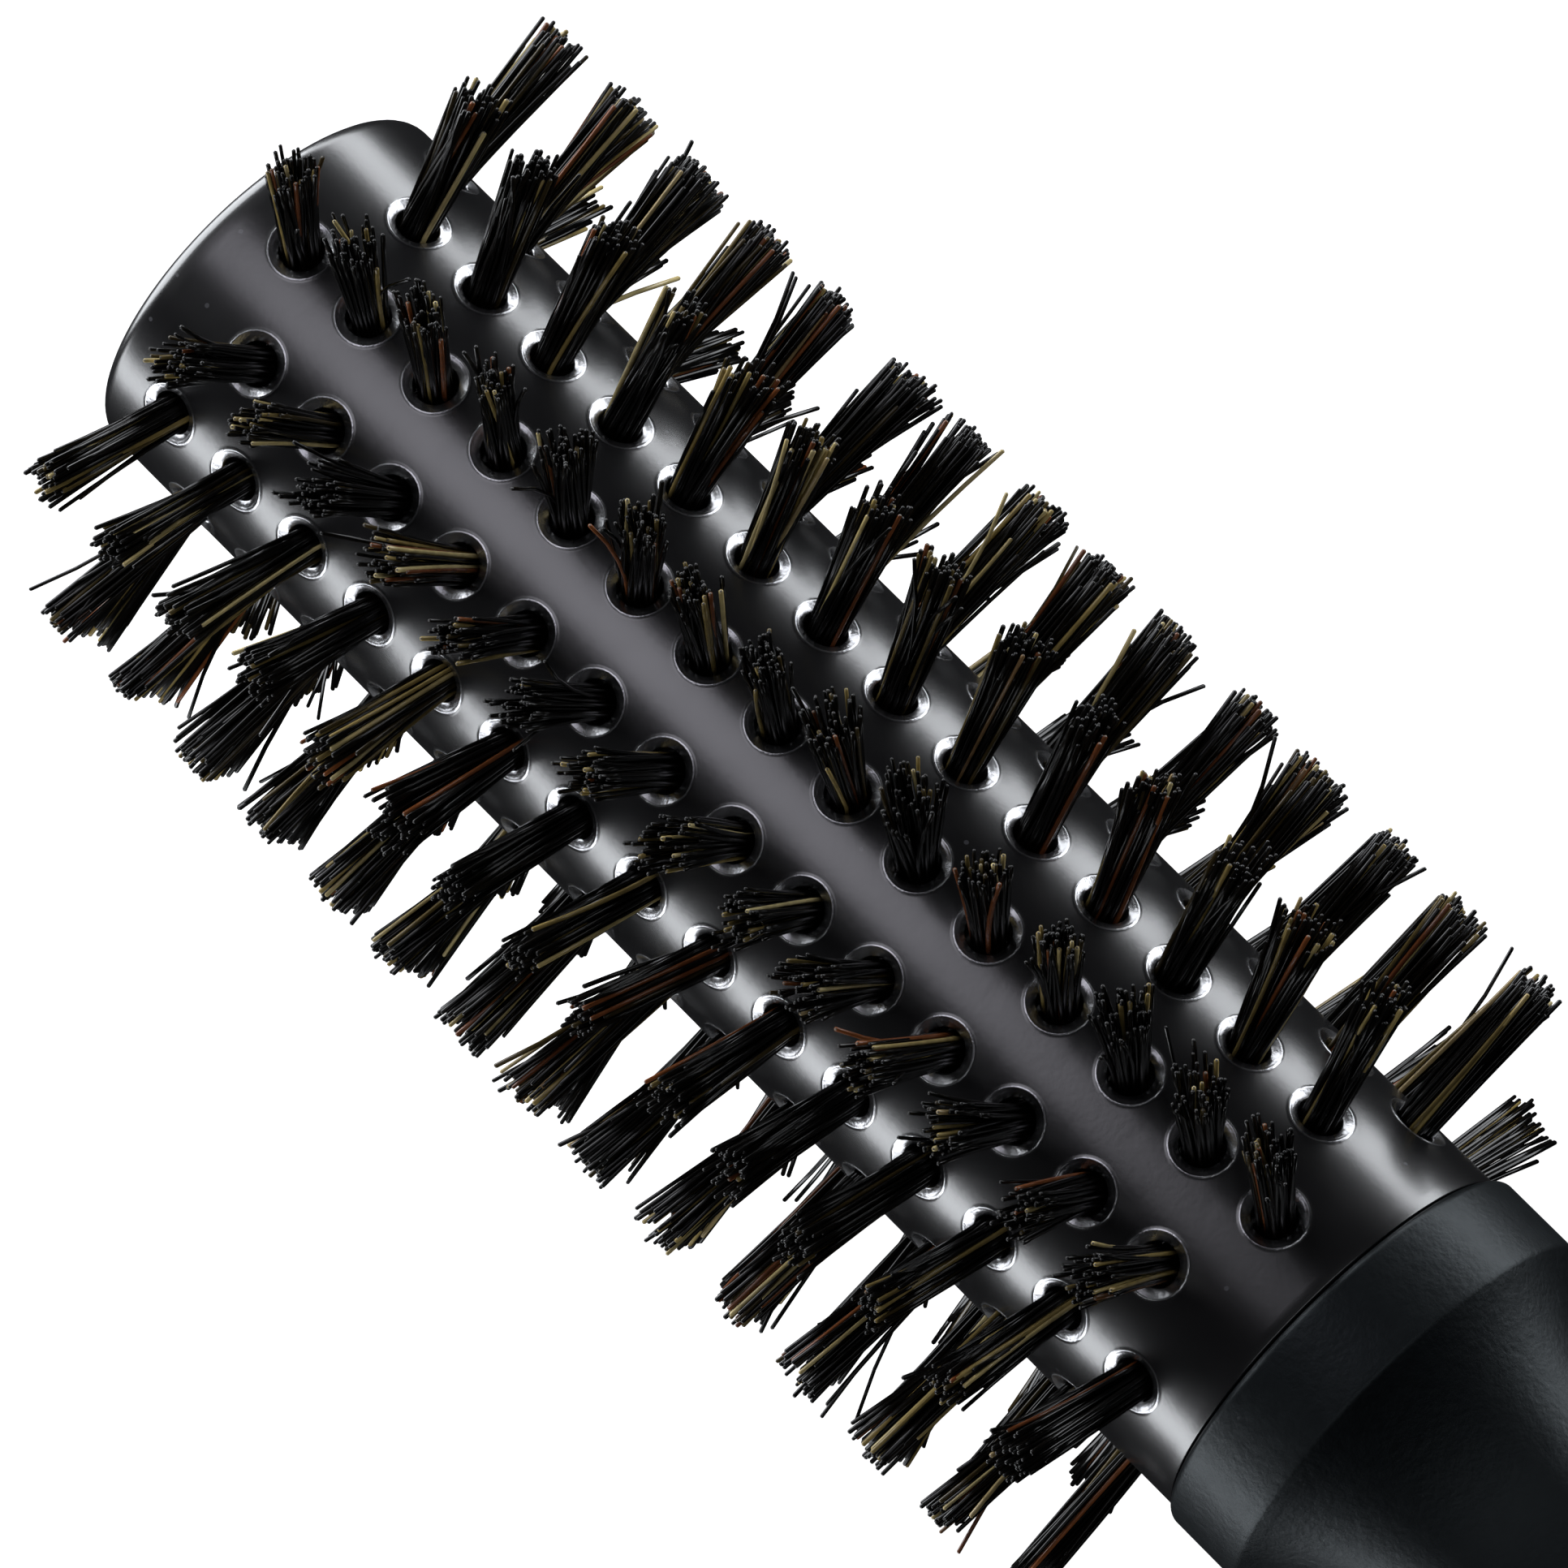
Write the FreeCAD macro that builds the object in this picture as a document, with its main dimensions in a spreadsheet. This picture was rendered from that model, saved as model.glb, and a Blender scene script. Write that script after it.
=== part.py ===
"""Round barrel brush, upright on the flat tip of its barrel.

The brush's axis is Z. The origin is the centre of the barrel's flat tip face, and +Z runs
from the tip to the tail of the handle. All sizes are in millimetres.
"""

import FreeCAD, Part
import math
import os
import re

import Sketcher

# Driving dimensions: name, value, what it measures.
SIZES = [
    ("BarrelRadius", 14.0, "barrel, outside radius"),
    ("BarrelLength", 100.0, "barrel, from its tip face to the seam with the handle"),
    ("TipRound", 1.2, "barrel, rounding of the rim round the tip face"),
    ("SpigotRadius", 7.5, "barrel, radius of the spigot that enters the handle"),
    ("SpigotLength", 9.0, "barrel, length of that spigot"),
    ("FirstHole", 5.84, "tip face to the first hole of a long row"),
    ("HolePitch", 6.34, "hole to hole along a row"),
    ("LastMargin", 5.0, "least distance from a row's last hole to the seam"),
    ("HoleRadius", 1.45, "tuft hole, radius"),
    ("HoleDepth", 6.5, "tuft hole, depth below the barrel's surface"),
    ("SinkWidth", 0.65, "countersink, how far it reaches past the hole's edge"),
    ("SinkDepth", 0.3, "countersink, depth"),
    ("TuftGap", 0.1, "clearance between a tuft and the wall of its hole"),
    ("TuftLength", 11.7, "bristle length that stands out of the barrel"),
    ("TuftSplay", 1.1, "how much wider a tuft's radius is at its tips"),
    ("AnchorThick", 0.3, "anchor, thickness of its flat wire"),
    ("AnchorWidth", 1.5, "anchor, width of its flat wire"),
    ("AnchorBite", 0.3, "anchor, how far each end bites into the wall of the hole"),
    ("AnchorLift", 0.7, "bristle fold between the anchor and the hole's bottom"),
    ("RodRadius", 3.0, "tang rod, radius"),
    ("RodInBarrel", 48.0, "tang rod, length inside the barrel and its spigot"),
    ("RodInHandle", 70.0, "tang rod, length inside the handle core past the spigot"),
    ("RodGap", 0.03, "clearance round the tang rod"),
    ("SpigotGap", 0.05, "clearance round the barrel's spigot"),
    ("EndGap", 0.5, "clearance past the end of the spigot and of the rod"),
    ("SeamGap", 0.15, "open seam between the barrel and the sleeve's front edge"),
    ("CollarStep", 0.58, "collar, how far it stands proud of the barrel"),
    ("CollarRound", 0.6, "collar, rounding of its front edge"),
    ("CollarBand", 6.2, "collar, length from the seam to the crease"),
    ("CreaseRound", 0.8, "collar, rounding of the crease"),
    ("FlareLength", 17.8, "hollow flare, from the crease to the neck"),
    ("NeckRadius", 8.8, "handle, radius at the neck"),
    ("GripRise", 56.0, "handle, from the neck to the widest part of the grip"),
    ("GripRadius", 11.4, "handle, radius of the widest part of the grip"),
    ("TailRun", 52.0, "handle, from the widest part to the start of the round tail"),
    ("TailRadius", 8.0, "handle, radius of the round tail"),
    ("SleeveWall", 1.6, "grip sleeve, wall thickness"),
]

# Rows of tufts round the barrel. Every second row starts half a pitch further from the tip.
ROWS = 12
ROW_STEP = 360 / ROWS
ROW_START = ROW_STEP / 2

# How far the cutter of a hole reaches out of the barrel's surface.
CUTTER_REACH = 0.4

# Places worked out from the driving dimensions.
SHOULDER = "BarrelLength"
SPIGOT_END = "BarrelLength + SpigotLength"
ROD_START = f"{SPIGOT_END} - RodInBarrel"
ROD_END = f"{SPIGOT_END} + RodInHandle"
COLLAR = "BarrelRadius + CollarStep"
CREASE = "BarrelLength + CollarBand"
NECK = f"{CREASE} + FlareLength"
GRIP = f"{NECK} + GripRise"
TAIL = f"{GRIP} + TailRun"
HOLE_BOTTOM = "BarrelRadius - HoleDepth"
ANCHOR_START = f"{HOLE_BOTTOM} + AnchorLift"
TUFT_RADIUS = "HoleRadius - TuftGap"
SINK_SLOPE = "SinkWidth / SinkDepth"
ROW_ROOM = "BarrelLength - LastMargin - FirstHole"

doc = FreeCAD.newDocument("RoundBarrelBrush")
sheet = doc.addObject("Spreadsheet::Sheet", "Sizes")


def fill_sheet():
    """Writes each driving dimension to a row of the sheet: its note, its value, its alias."""
    for row, (alias, value, note) in enumerate(SIZES, start=1):
        sheet.set(f"A{row}", note)
        sheet.set(f"B{row}", str(value))
        sheet.setAlias(f"B{row}", alias)
    doc.recompute()


def bound(text):
    """Turns names of sizes in text into references to the sheet's cells."""
    names = "|".join(alias for alias, _, _ in SIZES)
    return re.sub(rf"\b({names})\b", r"Sizes.\1", text)


def number(body, text):
    """The present value of an expression over the sizes."""
    result = body.evalExpression(bound(text))
    return float(getattr(result, "Value", result))


def origin_part(body, role):
    """One of the body's own origin planes or axes."""
    return next(f for f in body.Origin.OriginFeatures if f.Role == role)


def new_body(name):
    body = doc.addObject("PartDesign::Body", name)
    body.Label = name
    return body


def new_sketch(body, name, lift="0", turn=0):
    """A sketch on the body's XZ plane, raised by lift along the axis and turned about it."""
    sketch = body.newObject("Sketcher::SketchObject", name)
    sketch.AttachmentSupport = (origin_part(body, "XZ_Plane"), "")
    sketch.MapMode = "FlatFace"
    about_axis = FreeCAD.Rotation(FreeCAD.Vector(0, 1, 0), turn)
    raised = FreeCAD.Vector(0, number(body, lift), 0)
    sketch.AttachmentOffset = FreeCAD.Placement(raised, about_axis)
    sketch.setExpression("AttachmentOffset.Base.y", bound(lift))
    return sketch


def add_arc(sketch, start, end, level):
    """Adds the short arc between two points whose centre is at the height level.

    Returns the geometry's index and its point numbers at start and at end.
    """
    across = (end.x**2 - start.x**2 + (end.y - level) ** 2 - (start.y - level) ** 2) / (
        2 * (end.x - start.x)
    )
    centre = FreeCAD.Vector(across, level, 0)
    from_start = start - centre
    from_end = end - centre
    first = math.atan2(from_start.y, from_start.x)
    last = math.atan2(from_end.y, from_end.x)
    anticlockwise = from_start.cross(from_end).z > 0
    if not anticlockwise:
        first, last = last, first
    circle = Part.Circle(centre, FreeCAD.Vector(0, 0, 1), from_start.Length)
    index = sketch.addGeometry(Part.ArcOfCircle(circle, first, last), False)
    return (index, 1, 2) if anticlockwise else (index, 2, 1)


def hold(sketch, kind, index, point, text, value):
    """Fixes a point's distance from the sketch's origin, across or up, to an expression."""
    if text == "0":
        axis = -2 if kind == "DistanceX" else -1
        sketch.addConstraint(Sketcher.Constraint("PointOnObject", index, point, axis))
        return
    added = sketch.addConstraint(Sketcher.Constraint(kind, -1, 1, index, point, value))
    sketch.setExpression(f"Constraints[{added}]", bound(text))


def draw_outline(body, name, corners, lift="0", turn=0):
    """Draws a closed outline in a new sketch.

    Each corner is (across, up, level). The edge that leaves it is straight where level is
    None, and otherwise an arc with its centre at the height level.
    """
    sketch = new_sketch(body, name, lift, turn)
    points = [
        FreeCAD.Vector(number(body, across), number(body, up), 0)
        for across, up, _ in corners
    ]
    edges = []
    for place, (_, _, level) in enumerate(corners):
        start = points[place]
        end = points[(place + 1) % len(points)]
        if level is None:
            index = sketch.addGeometry(Part.LineSegment(start, end), False)
            edges.append((index, 1, 2))
        else:
            edges.append(add_arc(sketch, start, end, number(body, level)))
    for place, (across, up, level) in enumerate(corners):
        index, first, last = edges[place]
        following, following_first, _ = edges[(place + 1) % len(edges)]
        sketch.addConstraint(
            Sketcher.Constraint("Coincident", index, last, following, following_first)
        )
        hold(sketch, "DistanceX", index, first, across, points[place].x)
        hold(sketch, "DistanceY", index, first, up, points[place].y)
        if level is not None:
            hold(sketch, "DistanceY", index, 3, level, number(body, level))
    return sketch


def turned(body, name, sketch, axis="V_Axis", cut=False):
    """Adds or cuts the solid that the sketch sweeps about one of its own axes."""
    kind = "PartDesign::Groove" if cut else "PartDesign::Revolution"
    feature = body.newObject(kind, name)
    feature.Profile = sketch
    feature.ReferenceAxis = (sketch, [axis])
    feature.Angle = 360
    return feature


def extruded(body, name, sketch, thickness, cut=False):
    """Adds or cuts the sketch's outline, half the thickness to each side of its plane."""
    kind = "PartDesign::Pocket" if cut else "PartDesign::Pad"
    feature = body.newObject(kind, name)
    feature.Profile = sketch
    feature.SideType = "Symmetric"
    feature.setExpression("Length", bound(thickness))
    return feature


def along_axis(body, name, count):
    """A pattern that repeats features along the brush's axis, one hole pitch apart."""
    pattern = body.newObject("PartDesign::LinearPattern", name)
    pattern.Direction = (origin_part(body, "Z_Axis"), [""])
    pattern.Mode = "Spacing"
    pattern.setExpression("Offset", bound("HolePitch"))
    pattern.setExpression("Occurrences", bound(count))
    return pattern


def row_start(row):
    """Distance from the tip face to the first hole of a row."""
    return "FirstHole + HolePitch / 2" if row % 2 else "FirstHole"


def row_count(row):
    """How many holes fit in a row before the margin at the seam."""
    room = f"({ROW_ROOM} - HolePitch / 2)" if row % 2 else f"({ROW_ROOM})"
    return f"floor({room} / HolePitch) + 1"


def hole_outline():
    """Half section of a countersunk blind hole, from its bottom to clear of the barrel."""
    clear = f"BarrelRadius + {CUTTER_REACH}"
    wide = f"HoleRadius + SinkWidth + {CUTTER_REACH} * {SINK_SLOPE}"
    return [
        (HOLE_BOTTOM, "0", None),
        (clear, "0", None),
        (clear, wide, None),
        ("BarrelRadius - SinkDepth", "HoleRadius", None),
        (HOLE_BOTTOM, "HoleRadius", None),
    ]


def anchor_outline():
    """The flat anchor seen edge on, its two ends past the wall of the hole."""
    half = "HoleRadius + AnchorBite"
    end = f"{ANCHOR_START} + AnchorWidth"
    return [
        (ANCHOR_START, f"-({half})", None),
        (end, f"-({half})", None),
        (end, half, None),
        (ANCHOR_START, half, None),
    ]


def tuft_outline():
    """Half section of a tuft: straight inside its hole, then flaring to its cut tips."""
    tips = "BarrelRadius + TuftLength"
    return [
        (HOLE_BOTTOM, "0", None),
        (tips, "0", None),
        (tips, f"{TUFT_RADIUS} + TuftSplay", None),
        ("BarrelRadius", TUFT_RADIUS, None),
        (HOLE_BOTTOM, TUFT_RADIUS, None),
    ]


def handle_outline(inset):
    """Half section of the handle's outside, with every radius less by inset.

    From the front face the collar runs to the crease, a hollow flare to the neck, and two
    gentle swells over the grip to the round tail.
    """

    def half(text):
        return f"({text}) / 2"

    return [
        ("0", SHOULDER, None),
        (f"{COLLAR} - {inset}", SHOULDER, None),
        (f"{COLLAR} - {inset}", CREASE, NECK),
        (f"NeckRadius - {inset}", NECK, NECK),
        (f"{half('NeckRadius + GripRadius')} - {inset}", half(f"{NECK} + {GRIP}"), GRIP),
        (f"GripRadius - {inset}", GRIP, GRIP),
        (f"{half('GripRadius + TailRadius')} - {inset}", half(f"{GRIP} + {TAIL}"), TAIL),
        (f"TailRadius - {inset}", TAIL, TAIL),
        ("0", f"{TAIL} + TailRadius - {inset}", None),
    ]


def make_barrel():
    """The moulded barrel: round body, rear spigot, bore for the rod, and the tuft holes."""
    body = new_body("barrel")
    bore = "RodRadius + RodGap"
    corners = [
        ("0", "0", None),
        ("BarrelRadius - TipRound", "0", "TipRound"),
        ("BarrelRadius", "TipRound", None),
        ("BarrelRadius", SHOULDER, None),
        ("SpigotRadius", SHOULDER, None),
        ("SpigotRadius", SPIGOT_END, None),
        (bore, SPIGOT_END, None),
        (bore, ROD_START, None),
        ("0", ROD_START, None),
    ]
    turned(body, "BarrelTurned", draw_outline(body, "BarrelSection", corners))
    doc.recompute()
    for row, name in ((0, "Long"), (1, "Short")):
        before = body.Shape.Volume
        turn = ROW_START + row * ROW_STEP
        section = draw_outline(body, f"{name}Hole", hole_outline(), row_start(row), turn)
        hole = turned(body, f"{name}HoleCut", section, "H_Axis", cut=True)
        slot = draw_outline(body, f"{name}Slot", anchor_outline(), row_start(row), turn)
        pocket = extruded(body, f"{name}SlotCut", slot, "AnchorThick", cut=True)
        rows = body.newObject("PartDesign::MultiTransform", f"{name}Rows")
        rows.Originals = [hole, pocket]
        around = body.newObject("PartDesign::PolarPattern", f"{name}Around")
        around.Axis = (origin_part(body, "Z_Axis"), [""])
        around.Angle = 360
        around.Occurrences = ROWS // 2
        along = along_axis(body, f"{name}Along", row_count(row))
        rows.Transformations = [along, around]
        body.Tip = rows
        doc.recompute()
        if body.Shape.Volume >= before:
            raise RuntimeError(f"the {name} rows cut nothing")
    return body


def make_row(kind, row, draw, filled):
    """One row of separate tufts or anchors, as a body turned to the row's place."""
    body = new_body(f"{kind}_row_{row + 1:02d}")
    tag = f"{kind.title()}{row + 1}"
    made = draw(body, tag, row_start(row))
    rows = along_axis(body, f"{tag}Along", row_count(row))
    rows.Originals = made
    body.Tip = rows
    axis = FreeCAD.Vector(0, 0, 1)
    turn = FreeCAD.Rotation(axis, ROW_START + row * ROW_STEP)
    body.Placement = FreeCAD.Placement(FreeCAD.Vector(0, 0, 0), turn)
    filled.append((body, row_count(row)))
    return body


def draw_tuft(body, tag, lift):
    """A tuft, with the slot that its anchor is driven through."""
    section = draw_outline(body, f"{tag}Section", tuft_outline(), lift)
    tuft = turned(body, f"{tag}Turned", section, "H_Axis")
    slot = draw_outline(body, f"{tag}Slot", anchor_outline(), lift)
    return [tuft, extruded(body, f"{tag}SlotCut", slot, "AnchorThick", cut=True)]


def draw_anchor(body, tag, lift):
    """An anchor of flat wire, which the bristles fold round."""
    section = draw_outline(body, f"{tag}Section", anchor_outline(), lift)
    return [extruded(body, f"{tag}Plate", section, "AnchorThick")]


def make_rod():
    """The steel rod that joins the barrel to the handle core."""
    body = new_body("tang_rod")
    corners = [
        ("0", ROD_START, None),
        ("RodRadius", ROD_START, None),
        ("RodRadius", ROD_END, None),
        ("0", ROD_END, None),
    ]
    turned(body, "RodTurned", draw_outline(body, "RodSection", corners))
    return body


def make_handle_core():
    """The rigid core under the sleeve, with a socket for the spigot and a bore for the rod."""
    body = new_body("handle_core")
    outside = draw_outline(body, "CoreSection", handle_outline("SleeveWall"))
    turned(body, "CoreTurned", outside)
    socket = "SpigotRadius + SpigotGap"
    floor = f"{SPIGOT_END} + EndGap"
    bore = "RodRadius + RodGap"
    corners = [
        ("0", SHOULDER, None),
        (socket, SHOULDER, None),
        (socket, floor, None),
        (bore, floor, None),
        (bore, f"{ROD_END} + EndGap", None),
        ("0", f"{ROD_END} + EndGap", None),
    ]
    turned(body, "CoreBored", draw_outline(body, "SocketSection", corners), cut=True)
    return body


def find_ring(shape, radius, height):
    """The name of the shape's round edge about Z with this radius, at this height."""
    for index, edge in enumerate(shape.Edges, start=1):
        curve = edge.Curve
        if not isinstance(curve, Part.Circle):
            continue
        if abs(curve.Radius - radius) < 1e-4 and abs(curve.Center.z - height) < 1e-4:
            return f"Edge{index}"
    raise RuntimeError(f"no round edge of radius {radius} at height {height}")


def make_grip_sleeve():
    """The soft sleeve over the core, with its collar against the barrel."""
    body = new_body("grip_sleeve")
    outside = handle_outline("0")
    front = f"{SHOULDER} + SeamGap"
    outside[0] = ("0", front, None)
    outside[1] = (f"{COLLAR} - CollarRound", front, f"{front} + CollarRound")
    outside.insert(2, (COLLAR, f"{front} + CollarRound", None))
    turned(body, "SleeveTurned", draw_outline(body, "SleeveSection", outside))
    inside = draw_outline(body, "CoreSpace", handle_outline("SleeveWall"))
    hollow = turned(body, "SleeveHollow", inside, cut=True)
    doc.recompute()
    ring = find_ring(hollow.Shape, number(body, COLLAR), number(body, CREASE))
    crease = body.newObject("PartDesign::Fillet", "CreaseFillet")
    crease.Base = (hollow, [ring])
    crease.setExpression("Radius", bound("CreaseRound"))
    return body


def check_and_write(bodies, filled):
    """Stops on any failed object or shape, then writes each body's solids to parts/."""
    doc.recompute()
    for thing in doc.Objects:
        if "Invalid" in thing.State or "Error" in thing.State:
            raise RuntimeError(f"{thing.Name} did not recompute: {thing.State}")
    for body in bodies:
        if body.Shape.isNull() or not body.Shape.isValid():
            raise RuntimeError(f"{body.Label} has no valid shape")
    for body, count in filled:
        wanted = round(number(body, count))
        if len(body.Shape.Solids) != wanted:
            found = len(body.Shape.Solids)
            raise RuntimeError(f"{body.Label} has {found} solids, not {wanted}")
    os.makedirs("parts", exist_ok=True)
    for body in bodies:
        body.Shape.exportStep(f"parts/{body.Label}.step")
        print(f"{body.Label}: {len(body.Shape.Solids)} solids, {body.Shape.Volume:.1f} mm3")


fill_sheet()
filled_rows = []
brush = [make_barrel(), make_rod(), make_handle_core(), make_grip_sleeve()]
for number_of_row in range(ROWS):
    brush.append(make_row("tuft", number_of_row, draw_tuft, filled_rows))
    brush.append(make_row("anchor", number_of_row, draw_anchor, filled_rows))
check_and_write(brush, filled_rows)
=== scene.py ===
import math

import bpy
import numpy as np
from mathutils import Matrix, Vector


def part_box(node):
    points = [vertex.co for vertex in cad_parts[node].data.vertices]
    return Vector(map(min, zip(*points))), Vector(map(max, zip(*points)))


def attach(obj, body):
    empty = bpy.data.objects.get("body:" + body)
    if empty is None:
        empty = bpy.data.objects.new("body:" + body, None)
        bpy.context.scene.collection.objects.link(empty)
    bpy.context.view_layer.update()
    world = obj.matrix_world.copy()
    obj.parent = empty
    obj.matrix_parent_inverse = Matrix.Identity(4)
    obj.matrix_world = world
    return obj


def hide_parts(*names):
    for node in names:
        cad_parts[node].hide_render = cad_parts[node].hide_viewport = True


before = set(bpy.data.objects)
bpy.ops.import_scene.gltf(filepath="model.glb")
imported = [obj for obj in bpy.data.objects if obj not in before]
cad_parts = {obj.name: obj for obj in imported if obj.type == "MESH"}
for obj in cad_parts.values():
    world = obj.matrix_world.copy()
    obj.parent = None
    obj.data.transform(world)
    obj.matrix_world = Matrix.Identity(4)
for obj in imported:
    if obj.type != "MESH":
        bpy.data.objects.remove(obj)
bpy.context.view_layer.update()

mm = 0.001
fullTurn = 2 * math.pi
longRow, shortRow = 15, 14
rowNames = [f"{n:02d}" for n in range(1, 13)]
rowAngle = fullTurn / len(rowNames)


def boxOf(nodeName):
    # The two far corners of a CAD node's box, as arrays.
    low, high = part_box(nodeName)
    return np.array(low), np.array(high)


barrelRadius = boxOf("barrel")[1][0]
seamHeight = boxOf("handle_core")[0][2]
sleeveFront = boxOf("grip_sleeve")[0][2]
collarRadius = boxOf("grip_sleeve")[1][0]


def tuftRow(name):
    # A row's azimuth, that of its mean point; the heights of its tufts' axes, evenly spaced from
    # its lowest point plus a tuft's tip radius to its highest less one; and its tips' reach.
    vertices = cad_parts["tuft_row_" + name].data.vertices
    points = np.empty(len(vertices) * 3, np.float32)
    vertices.foreach_get("co", points)
    points = points.reshape(-1, 3).astype(float)
    middle = points[:, :2].mean(0)
    azimuth = math.radians(round(math.degrees(math.atan2(middle[1], middle[0])), 1))
    reach = points[:, :2] @ np.array([math.cos(azimuth), math.sin(azimuth)])
    count = longRow if int(name) % 2 else shortRow
    half = tuftShape["tipRadius"] * mm
    heights = np.linspace(points[:, 2].min() + half, points[:, 2].max() - half, count)
    return azimuth, heights, reach.max()


def gridFaces(index, wrap=False):
    # Quads between neighbouring rows and columns of an index array.
    if wrap:
        index = np.concatenate([index, index[:, :1]], 1)
    a, b = index[:-1, :-1], index[:-1, 1:]
    c, d = index[1:, 1:], index[1:, :-1]
    return np.stack([a, b, c, d], -1).reshape(-1, 4)


def weld(points, faces, grain=1e-7):
    # Points that share a place become one. A quad that loses a corner becomes a triangle,
    # and one that loses two is dropped. Each face array that is given back comes with the
    # number of the array that it came from.
    keys = np.round(points / grain).astype(np.int64)
    _, first, back = np.unique(keys, axis=0, return_index=True, return_inverse=True)
    kept = []
    for source, face in enumerate(faces):
        face = back.reshape(-1)[face]
        same = face == np.roll(face, -1, 1)
        kept.append((face[~same.any(1)], source))
        if face.shape[1] == 4:
            once = same.sum(1) == 1
            kept += [(np.delete(face[same[:, k] & once], k, 1), source) for k in range(4)]
    kept = [(face, source) for face, source in kept if len(face)]
    return points[first], [face for face, _ in kept], [source for _, source in kept]


def makePiece(name, points, faces, materials=(), marks=None):
    # One mesh object from a point array and a list of (n, sides) face arrays.
    mesh = bpy.data.meshes.new(name)
    mesh.vertices.add(len(points))
    mesh.vertices.foreach_set("co", points.astype(np.float32).ravel())
    corners = np.concatenate([f.ravel() for f in faces]).astype(np.int32)
    sizes = np.concatenate([np.full(len(f), f.shape[1]) for f in faces]).astype(np.int32)
    starts = np.concatenate([[0], np.cumsum(sizes)[:-1]]).astype(np.int32)
    mesh.loops.add(len(corners))
    mesh.loops.foreach_set("vertex_index", corners)
    mesh.polygons.add(len(sizes))
    mesh.polygons.foreach_set("loop_start", starts)
    mesh.polygons.foreach_set("use_smooth", np.ones(len(sizes), bool))
    if marks is not None:
        mesh.polygons.foreach_set("material_index", marks.astype(np.int32))
    mesh.update(calc_edges=True)
    mesh.validate()
    piece = bpy.data.objects.new(name, mesh)
    bpy.context.scene.collection.objects.link(piece)
    for material in materials:
        mesh.materials.append(material)
    return piece


def arc(centre, radius, start, end, steps):
    # Points on a circle between two angles in degrees, as an array of (across, up).
    angle = np.radians(np.linspace(start, end, steps + 1))
    return np.stack([centre[0] + radius * np.cos(angle), centre[1] + radius * np.sin(angle)], 1)


def turnProfile(profile, columns):
    # Surface of revolution: point = (across * cos a, across * sin a, up) for each angle a.
    angle = np.arange(columns) * fullTurn / columns
    across, up = profile[:, 0, None], profile[:, 1, None]
    return np.stack([across * np.cos(angle), across * np.sin(angle), up + 0 * angle], -1)


def node(tree, kind, **settings):
    # A shader node; a setting is the node's own property, or else the value of its input.
    made = tree.nodes.new(kind)
    for key, value in settings.items():
        if hasattr(made, key):
            setattr(made, key, value)
        else:
            made.inputs[key.replace("_", " ")].default_value = value
    return made


def newMaterial(name):
    # A material with its node tree and the Principled shader in it.
    material = bpy.data.materials.new(name)
    material.use_nodes = True
    tree = material.node_tree
    shader = tree.nodes["Principled BSDF"]
    return material, tree, shader


def newGroup(name, inputs, outputs):
    # A node group with named sockets: inputs are (label, type, value), outputs (label, type).
    group = bpy.data.node_groups.new(name, "ShaderNodeTree")
    for label, kind, value in inputs:
        socket = group.interface.new_socket(label, in_out="INPUT", socket_type=kind)
        if value is not None:
            socket.default_value = value
    for label, kind in outputs:
        group.interface.new_socket(label, in_out="OUTPUT", socket_type=kind)
    enter = group.nodes.new("NodeGroupInput")
    leave = group.nodes.new("NodeGroupOutput")
    return group, enter, leave


def useGroup(tree, group, **values):
    # A node group placed in a tree with its own input values.
    placed = tree.nodes.new("ShaderNodeGroup")
    placed.node_tree = group
    for label, value in values.items():
        placed.inputs[label].default_value = value
    return placed


def ramp(tree, stops):
    # Colour ramp: straight mixes between (place, colour) stops.
    made = tree.nodes.new("ShaderNodeValToRGB")
    elements = made.color_ramp.elements
    while len(elements) < len(stops):
        elements.new(0.5)
    for element, (place, colour) in zip(elements, stops):
        element.position = place
        element.color = (*colour, 1)
    return made


def makeSurfaceGrain():
    # Height and patches of a moulded or lacquered skin: the height is fine noise mixed with
    # share of a broad noise, and the patches are the broad noise alone.
    group, enter, leave = newGroup(
        "surfaceGrain",
        [("Vector", "NodeSocketVector", None), ("Fine", "NodeSocketFloat", 3000.0),
         ("Broad", "NodeSocketFloat", 400.0), ("Share", "NodeSocketFloat", 0.5)],
        [("Height", "NodeSocketFloat"), ("Patches", "NodeSocketFloat")])
    link = group.links.new
    fine = node(group, "ShaderNodeTexNoise", Detail=3.0, Roughness=0.55)
    broad = node(group, "ShaderNodeTexNoise", Detail=2.0, Roughness=0.5)
    blend = node(group, "ShaderNodeMix", data_type="FLOAT")
    for noise, label in ((fine, "Fine"), (broad, "Broad")):
        link(enter.outputs["Vector"], noise.inputs["Vector"])
        link(enter.outputs[label], noise.inputs["Scale"])
    link(enter.outputs["Share"], blend.inputs[0])
    link(fine.outputs["Fac"], blend.inputs[2])
    link(broad.outputs["Fac"], blend.inputs[3])
    link(blend.outputs[0], leave.inputs["Height"])
    link(broad.outputs["Fac"], leave.inputs["Patches"])
    return group


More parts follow.
